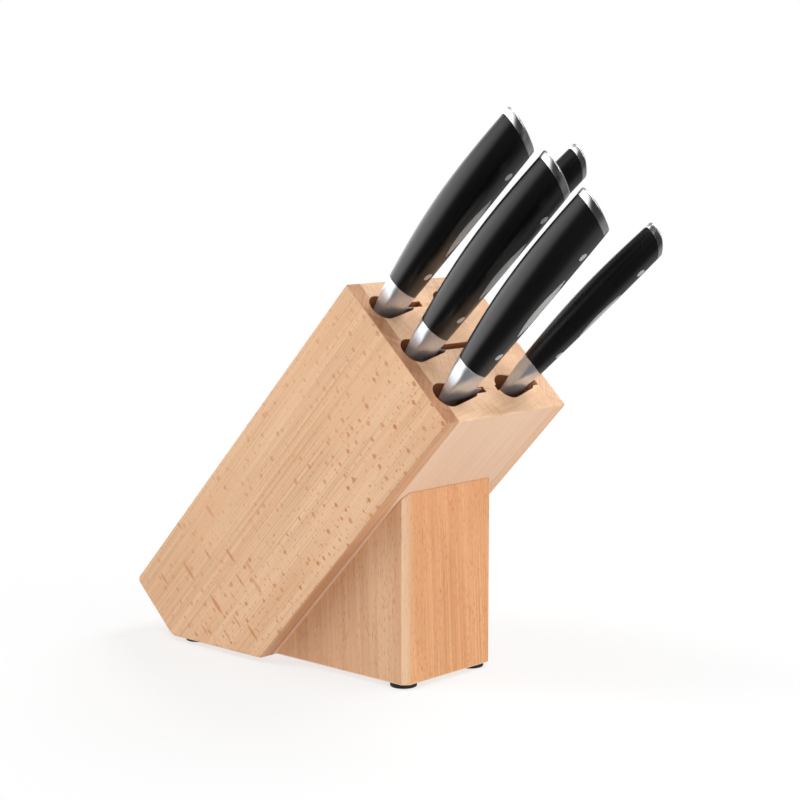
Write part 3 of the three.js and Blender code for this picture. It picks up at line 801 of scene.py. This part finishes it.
def beech(name, light, dark, move, pores=0.3, lines=0.5, flecks=False, turn=(0, 0, 0), own_place=True,
          pore_scale=(2.3, 2.3, 0.22), pore_colour=(176, 104, 62)):
    """Side grain. The fibres run along z, and its rays show as flecks where it faces x."""
    s = Surface(name, own_place)
    broad = s.noise(s.place((0.05, 0.05, 0.006), turn, move), 1.0, 3.0, 0.55, 0.4)
    bands = s.noise(s.place((0.3, 0.3, 0.006), turn, move), 1.0, 4.0, 0.6, 0.3)
    fibre = s.noise(s.place((2.4, 2.4, 0.05), turn, move), 1.0, 4.0, 0.65)
    fine = s.noise(s.place((1.9, 1.9, 0.007), turn, move), 1.0, 1.0, 0.5)
    tone = s.math("ADD", s.math("MULTIPLY", broad, 0.5), s.math("MULTIPLY", bands, 0.5))
    colour = s.mix(s.ramp(tone, 0.36, 0.64), srgb(*light), srgb(*dark))
    clear = s.ramp(s.noise(s.place((0.03, 0.03, 0.012), turn, move), 1.0, 2.0), 0.4, 0.62, 0.25, 1.0)
    line = s.math("MULTIPLY", s.ramp(fine, 0.46, 0.62), clear)
    colour = s.mix(s.math("MULTIPLY", line, lines), colour, srgb(*[c * 0.9 for c in dark]))
    thin = s.ramp(fibre, 0.48, 0.72)
    colour = s.mix(s.math("MULTIPLY", thin, 0.25), colour, srgb(*[c * 0.88 for c in dark]))
    distance = s.node("ShaderNodeTexVoronoi", {"Vector": s.place(pore_scale, turn, move), "Scale": 1.0})
    size = s.math("MULTIPLY", s.split(distance.outputs["Color"])[0], 0.38)
    pore = s.ramp(s.math("SUBTRACT", distance.outputs["Distance"], size), -0.05, 0.1, 1.0, 0.0)
    patch = s.ramp(s.noise(s.place((0.12, 0.12, 0.03), turn, move), 1.0, 2.0), 0.35, 0.6, 0.35, 1.0)
    pore = s.math("MULTIPLY", pore, patch)
    colour = s.mix(s.math("MULTIPLY", pore, pores), colour, srgb(*pore_colour))
    relief = s.math("SUBTRACT", s.math("MULTIPLY", fibre, 0.6), s.math("MULTIPLY", pore, 0.8))
    if flecks:
        plane = s.flat(s.place((1, 1, 1), turn, move))
        light_fleck, deep_fleck = srgb(212, 148, 98), srgb(196, 116, 66)
        low_end = s.ramp(s.node("ShaderNodeSeparateXYZ", {0: s.place()}).outputs[2], -120.0, -185.0)
        near_front = s.ramp(s.node("ShaderNodeSeparateXYZ", {0: s.place()}).outputs[1], 75.0, 10.0, 0.5, 1.0)
        for pitch, length, width, share, strength in (LARGE_FLECKS, SMALL_FLECKS):
            mark, tint = s.marks(plane, pitch, length, width, share, 0.9)
            mark = s.math("MULTIPLY", s.math("MULTIPLY", mark, near_front), strength)
            colour = s.mix(mark, colour, s.mix(tint[1], light_fleck, deep_fleck))
        mark, tint = s.marks(plane, 13.0, 8.0, 1.7, 0.5, 0.5)
        mark = s.math("MULTIPLY", s.math("MULTIPLY", mark, low_end), 0.9)
        colour = s.mix(mark, colour, s.mix(tint[1], light_fleck, deep_fleck))
    rough = s.ramp(fibre, 0.3, 0.7, 0.5, 0.62)
    return s.set(Base_Color=colour, Roughness=rough).bump(relief, 0.05, 0.5).material


def end_grain(name, light, dark, angle, move, contrast=0.5):
    """The cut ends of the fibres: growth rings in shallow arcs, crossed by fine rays."""
    s = Surface(name)
    turn = (0.0, 0.0, angle)
    warp = s.noise(s.place((0.05, 0.05, 0.02), turn, move), 1.0, 2.0)
    rings = s.noise(s.place((0.45, 0.03, 0.01), turn, move), 1.0, 3.0, 0.6, 0.25)
    rays = s.noise(s.place((0.06, 1.25, 0.3), turn, move), 1.0, 2.0, 0.55)
    pores = s.noise(s.place((3.0, 3.0, 0.4), turn, move), 1.0, 2.0, 0.6)
    clear = s.ramp(s.noise(s.place((0.07, 0.07, 0.02), turn, move), 1.0, 2.0), 0.38, 0.62, 0.15, 1.0)
    half_dark = [(a + b) / 2 for a, b in zip(light, dark)]
    colour = s.mix(s.ramp(warp, 0.3, 0.7), srgb(*light), srgb(*half_dark))
    colour = s.mix(s.math("MULTIPLY", s.ramp(rings, 0.42, 0.68), contrast * 0.8), colour, srgb(*dark))
    ray = s.math("MULTIPLY", s.ramp(rays, 0.45, 0.62), clear)
    colour = s.mix(s.math("MULTIPLY", ray, contrast), colour, srgb(*[c * 0.92 for c in dark]))
    pore = s.math("MULTIPLY", s.ramp(pores, 0.52, 0.75), 0.25)
    colour = s.mix(pore, colour, srgb(*[c * 0.85 for c in dark]))
    relief = s.math("ADD", s.math("MULTIPLY", rays, 0.5), pores)
    rough = s.ramp(pores, 0.3, 0.7, 0.58, 0.72)
    return s.set(Base_Color=colour, Roughness=rough).bump(relief, 0.04, 0.5).material


def steel(name, tone, rough, stretch, depth=0.004, contrast=0.1, metal=1.0):
    """Brushed or polished steel. stretch says how its fine scratches run."""
    s = Surface(name)
    scratch = s.noise(s.place(stretch), 1.0, 5.0, 0.7)
    cloud = s.noise(s.place((0.09, 0.09, 0.05)), 1.0, 3.0)
    colour = s.mix(s.ramp(scratch, 0.3, 0.7), srgb(*tone), srgb(*[c * (1 - contrast) for c in tone]))
    low, high = rough
    value = s.math("ADD", s.ramp(scratch, 0.3, 0.7, low, high), s.ramp(cloud, 0.35, 0.65, -0.02, 0.02))
    return s.set(Base_Color=colour, Metallic=metal, Roughness=value).bump(scratch, depth, 0.5).material


def grip_black():
    """Moulded black polymer with a satin skin, a little more polished where it is held."""
    s = Surface("grip_satin_black")
    skin = s.noise(s.place((1.6, 1.6, 1.6)), 1.0, 4.0, 0.7)
    worn = s.noise(s.place((0.05, 0.05, 0.02)), 1.0, 2.0)
    colour = s.mix(s.ramp(worn, 0.3, 0.7), (0.0032, 0.0034, 0.0042), (0.0052, 0.0054, 0.0062))
    value = s.math("ADD", s.ramp(skin, 0.3, 0.7, 0.29, 0.32), s.ramp(worn, 0.3, 0.7, -0.01, 0.01))
    return s.set(Base_Color=colour, Roughness=value).bump(skin, 0.004, 0.3).material


def rubber():
    s = Surface("foot_rubber")
    grain = s.noise(s.place((2.5, 2.5, 2.5)), 1.0, 4.0, 0.7)
    colour = s.mix(s.ramp(grain, 0.3, 0.7), (0.012, 0.012, 0.012), (0.022, 0.021, 0.020))
    rough = s.ramp(grain, 0.3, 0.7, 0.7, 0.85)
    return s.set(Base_Color=colour, Roughness=rough).bump(grain, 0.05, 0.6).material


CHEEK_LIGHT, CHEEK_DARK = (236, 194, 155), (227, 178, 135)
CORE_LIGHT, CORE_DARK = (229, 194, 166), (223, 184, 153)
STAND_LIGHT, STAND_DARK = (226, 169, 120), (216, 152, 102)
SIDE_LIGHT, SIDE_DARK = (226, 180, 140), (214, 160, 118)
END_LIGHT, END_DARK = (226, 184, 150), (198, 148, 110)

cheek_sides = {
    "left": beech("left_cheek_side_grain", CHEEK_LIGHT, CHEEK_DARK, (3.0, 11.0, 7.0), 0.12, 0.75,
                  flecks=True),
    "right": beech("right_cheek_side_grain", CHEEK_LIGHT, CHEEK_DARK, (83.0, 47.0, 171.0), 0.15, 0.75,
                   flecks=True),
}
cheek_ends = {
    "left": end_grain("left_cheek_end_grain", (208, 156, 118), (170, 114, 76), 0.75, (5.0, 2.0, 0.0), 0.75),
    "right": end_grain("right_cheek_end_grain", END_LIGHT, END_DARK, -0.9, (41.0, 7.0, 0.0)),
}
cheek_fronts = {
    "left": beech("left_cheek_front_grain", (216, 166, 128), (198, 142, 102), (9.0, 31.0, 3.0), 0.5),
    "right": beech("right_cheek_front_grain", (227, 188, 155), (217, 172, 136), (19.0, 71.0, 3.0), 0.2, 0.3),
}
# The walls inside the mouths and slots are a darker brown: partly the colour of the bored wood, partly
# painted shade for the hollows.
bored_wall_and_painted_shade = beech("bored_grain_and_painted_shade", (180, 114, 72), (150, 88, 52), (7.0, 3.0, 0.0), 0.5)
grip_material = grip_black()
rubber_material = rubber()
bolster_material = steel("bolster_satin_steel", (226, 233, 240), (0.3, 0.37), (2.4, 2.4, 0.05), metal=0.8)
blade_material = steel("blade_ground_steel", (212, 213, 214), (0.3, 0.35), (0.05, 1.6, 3.2))
cap_material = steel("cap_polished_steel", (218, 218, 217), (0.3, 0.33), (0.6, 2.4, 2.4), 0.001, 0.06)
rivet_material = steel("rivet_polished_steel", (222, 220, 217), (0.34, 0.42), (1.2, 2.0, 2.0), 0.002, 0.06,
                       metal=0.6)
inlay_material = steel("inlay_brushed_steel", (222, 220, 217), (0.4, 0.5), (2.2, 1.0, 0.06), metal=0.6)


# ---- Assembly ----

for side in ("left", "right"):
    cheek = make_cheek(side)

    def cheek_face(centre, normal):
        inside = 3.0 < centre.y < BLOCK_DEPTH - 3.0 and abs(centre.x) < BLOCK_HALF_WIDTH - 4.0
        # Mouth walls take the darker bored colour, which is partly painted shade.
        if inside and -MOUTH_DEPTH - 1.0 < centre.z < -RIM:
            return 3
        if abs(normal.x) > 0.7:
            return 0
        return 1 if abs(normal.z) > 0.5 else 2

    paint(cheek, [cheek_sides[side], cheek_ends[side], cheek_fronts[side], bored_wall_and_painted_shade], cheek_face)
    shade(cheek, weighted=True)
    place(cheek, "root", f"{side}_cheek")

for number in range(4):
    board = make_board(number)
    grain = beech(f"core_{number + 1}_side_grain", CORE_LIGHT, CORE_DARK, (17.0 * number, 29.0 * number, 5.0),
                  0.06, 0.15)
    ends = end_grain(f"core_{number + 1}_end_grain", (234, 195, 160), (208, 160, 120),
                     (1.35, -1.2, 1.15, -1.4)[number], (13.0 * number, 37.0 * number, 0.0), 0.6)

    def board_face(centre, normal):
        outside = abs(centre.x) > CORE_HALF_WIDTH - 0.1 or centre.z > -0.01
        if centre.z > -0.6 and normal.z > 0.3:
            return 1
        if normal.z < -0.9:
            return 1
        if normal.y < -0.5 and centre.y < 1.5:
            return 0
        if normal.y > 0.5 and centre.y > BLOCK_DEPTH - 3.5:
            return 0
        # Inner slot and mouth walls take index 2, the darker bored colour, which is partly painted shade.
        return 0 if outside or abs(normal.z) > 0.3 else 2

    paint(board, [grain, ends, bored_wall_and_painted_shade], board_face)
    shade(board, weighted=True)
    place(board, "root", f"core_board_{number + 1}")

stand = make_stand()
stand_front = beech("stand_front_grain", STAND_LIGHT, STAND_DARK, (23.0, 5.0, 31.0), 0.85, 0.8,
                    turn=(0.0, 0.05, 0.0), pore_scale=(2.5, 2.5, 0.26), pore_colour=(184, 102, 50))
stand_side = beech("stand_side_grain", SIDE_LIGHT, SIDE_DARK, (61.0, 43.0, 17.0), 0.75, 0.6,
                   turn=(0.03, 0.0, 0.0), pore_scale=(2.5, 2.5, 0.26), pore_colour=(176, 104, 58))
# The stand's chamfers and rounds get a lighter colour than its front and sides: a painted highlight for the
# light these narrow faces catch.
stand_chamfer_painted_highlight = beech("stand_chamfer_painted_highlight_grain", (240, 202, 166), (232, 186, 146), (31.0, 13.0, 47.0), 0.3, 0.2)


# Index 2 goes to every face that is not the front, a side or the bottom; on the chamfers and rounds it is the
# lighter painted highlight.
def stand_face(centre, normal):
    if normal.y < -0.97:
        return 0
    return 1 if abs(normal.x) > 0.97 or abs(normal.z) > 0.9 else 2


paint(stand, [stand_front, stand_side, stand_chamfer_painted_highlight], stand_face)
shade(stand, weighted=True)
place(stand, "root", "stand")

dowel_material = beech("dowel_grain", (214, 172, 132), (196, 148, 106), (3.0, 3.0, 3.0),
                       turn=(math.pi / 2 - BLOCK_TILT, 0.0, 0.0), own_place=False)
for node in ("upper_dowel", "lower_dowel"):
    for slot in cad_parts[node].material_slots:
        slot.material = dowel_material

for node in ("front_left_foot", "front_right_foot", "rear_left_foot", "rear_right_foot"):
    foot = make_foot(node)
    paint(foot, [rubber_material])
    shade(foot, 40.0)
    place(foot, "root", node)

for item in KNIVES:
    name = item["name"]
    handle = item["handle"]
    seat = Matrix.Translation(Vector((
        item["spine_at_top"] + item["seat"] * math.tan(item["lean"]), item["row"], item["seat"])) * MM)
    matrix = BLOCK_FRAME @ seat @ Matrix.Rotation(item["lean"], 4, "Y")

    blade = make_blade(item, matrix)
    deep = -handle["bolster_depth"]

    def blade_face(centre, normal, deep=deep, handle=handle):
        wide = centre.x > handle["bolster_foot"] + 1.0
        return 1 if centre.z < deep + 4.0 or wide else 0

    paint(blade, [bolster_material, blade_material], blade_face)
    shade(blade, 28.0)
    place(blade, name, f"{name}_blade")

    grip = make_grip(item, matrix)
    paint(grip, [grip_material])
    shade(grip, 32.0)
    place(grip, name, f"{name}_grip")

    cap = make_cap(item, matrix)
    paint(cap, [cap_material])
    shade(cap, 40.0)
    place(cap, name, f"{name}_end_cap")

    for where, z in zip(("front", "rear"), rivet_places(handle)):
        rivet = make_rivet(item, where, z, matrix)
        paint(rivet, [rivet_material])
        shade(rivet, 50.0)
        place(rivet, name, f"{name}_{where}_rivet")
    for where in ("front", "back"):
        inlay = make_inlay(item, where, matrix)
        paint(inlay, [inlay_material])
        shade(inlay, 45.0)
        place(inlay, name, f"{name}_{where}_inlay")


# ---- Studio ----

def area_light(name, where, target, size, power):
    light = bpy.data.lights.new(name, "AREA")
    light.shape = "RECTANGLE"
    light.size, light.size_y = size
    light.energy = power
    obj = bpy.data.objects.new(name, light)
    bpy.context.scene.collection.objects.link(obj)
    obj.location = where
    obj.rotation_euler = (Vector(target) - Vector(where)).to_track_quat("-Z", "Y").to_euler()
    obj.visible_camera = False


BLOCK_AIM = (0.0, 0.0, 0.12)
LIGHTS = (
    ("key_softbox", (0.4, -1.6, 1.2), BLOCK_AIM, (1.2, 1.2), 9.0),
    ("left_softbox", (-0.75, 0.25, 1.6), BLOCK_AIM, (0.7, 0.7), 10.5),
    ("right_softbox", (0.9, -0.4, 1.6), BLOCK_AIM, (0.9, 0.9), 17.5),
    ("front_reflector", (0.5, -1.3, 0.15), (0.0, 0.0, 0.1), (1.2, 0.5), 7.0),
    ("side_reflector", (-1.1, -1.3, 0.4), (0.0, 0.0, 0.15), (0.8, 0.8), 4.0),
)
for light in LIGHTS:
    area_light(*light)

# The world's soft bright patches: direction, the cosines where each is full and gone, and strength.
BACKDROP = ((-0.22, 0.97, 0.05), 0.97, 0.36, 2.6)
LOW_GLOW = ((0.8, 0.42, -0.4), 0.96, 0.7, 0.35)


def make_world():
    """A world that is white where it is seen directly, and greyer where it only lights the object.

    Under the horizon only the steel and the grips mirror it. A bright backdrop stands behind.
    """
    world = bpy.data.worlds.new("studio")
    bpy.context.scene.world = world
    world.use_nodes = True
    tree = world.node_tree
    tree.nodes.clear()

    def ramp(value, inputs, kind):
        node = tree.nodes.new("ShaderNodeMapRange")
        node.interpolation_type = kind
        for key, number in inputs.items():
            node.inputs[key].default_value = number
        tree.links.new(value, node.inputs["Value"])
        return node.outputs[0]

    facing = tree.nodes.new("ShaderNodeTexCoord").outputs["Generated"]
    height = tree.nodes.new("ShaderNodeSeparateXYZ")
    tree.links.new(facing, height.inputs[0])
    strength = ramp(height.outputs[2], {
        "From Min": -0.1, "From Max": 0.5, "To Min": 0.05, "To Max": 0.30}, "LINEAR")
    top_fade = ramp(height.outputs[2], {"From Min": 0.5, "From Max": 0.15}, "SMOOTHSTEP")
    for direction, inner, outer, bright in (BACKDROP, LOW_GLOW):
        aim = tree.nodes.new("ShaderNodeVectorMath")
        aim.operation = "DOT_PRODUCT"
        aim.inputs[1].default_value = Vector(direction).normalized()
        tree.links.new(facing, aim.inputs[0])
        patch = ramp(aim.outputs["Value"], {
            "From Min": outer, "From Max": inner, "To Max": bright}, "SMOOTHSTEP")
        total = tree.nodes.new("ShaderNodeMath")
        total.operation = "MULTIPLY_ADD"
        for socket, value in zip(total.inputs, (patch, top_fade, strength)):
            tree.links.new(value, socket)
        strength = total.outputs[0]

    mixer = tree.nodes.new("ShaderNodeMixShader")
    path = tree.nodes.new("ShaderNodeLightPath")
    tree.links.new(path.outputs["Is Camera Ray"], mixer.inputs[0])
    for index in (1, 2):
        background = tree.nodes.new("ShaderNodeBackground")
        background.inputs[0].default_value = (1.0, 1.0, 1.0, 1.0)
        tree.links.new(background.outputs[0], mixer.inputs[index])
        if index == 1:
            tree.links.new(strength, background.inputs[1])
    output = tree.nodes.new("ShaderNodeOutputWorld")
    tree.links.new(mixer.outputs[0], output.inputs[0])


make_world()

# The floor keeps a soft shadow near the object and fades to white further out.
turns = [2 * math.pi * i / 96 for i in range(96)]
floor = solid("studio_floor", loft([
    [(radius * math.cos(a), radius * math.sin(a), -0.01) for a in turns]
    for radius in (10.0, 400.0, 1200.0, 30000.0)], caps=False))
surface = Surface("studio_floor_white", own_place=False)
spread = surface.node("ShaderNodeVectorMath", {0: surface.node("ShaderNodeTexCoord").outputs["Object"]},
                      operation="LENGTH").outputs["Value"]
grain = surface.noise(surface.place((0.4, 0.4, 0.4)), 1.0, 2.0)
surface.set(Base_Color=surface.mix(grain, (0.86, 0.86, 0.86), (0.88, 0.88, 0.88)), Roughness=0.9)
glow = surface.node("ShaderNodeEmission", {"Strength": 1.0})
blend = surface.node("ShaderNodeMixShader", {
    0: surface.ramp(spread, 0.1, 0.42, 0.7, 1.0), 1: surface.shader.outputs[0], 2: glow.outputs[0]})
surface.tree.links.new(blend.outputs[0], surface.tree.nodes["Material Output"].inputs[0])
floor.data.materials.append(surface.material)
floor.visible_glossy = False

bpy.context.scene.view_settings.view_transform = "Standard"

CAMERA_PLACE = (-0.71896, -0.66386, 0.2684)
CAMERA_YAW, CAMERA_PITCH = math.radians(47.3), math.radians(7.55)
camera_data = bpy.data.cameras.new("camera")
camera_data.sensor_width = 36.0
camera_data.lens = 87.4
camera = bpy.data.objects.new("camera", camera_data)
bpy.context.scene.collection.objects.link(camera)
camera.location = CAMERA_PLACE
level = math.cos(CAMERA_PITCH)
look = Vector((math.sin(CAMERA_YAW) * level, math.cos(CAMERA_YAW) * level, -math.sin(CAMERA_PITCH)))
camera.rotation_euler = look.to_track_quat("-Z", "Y").to_euler()
bpy.context.scene.camera = camera
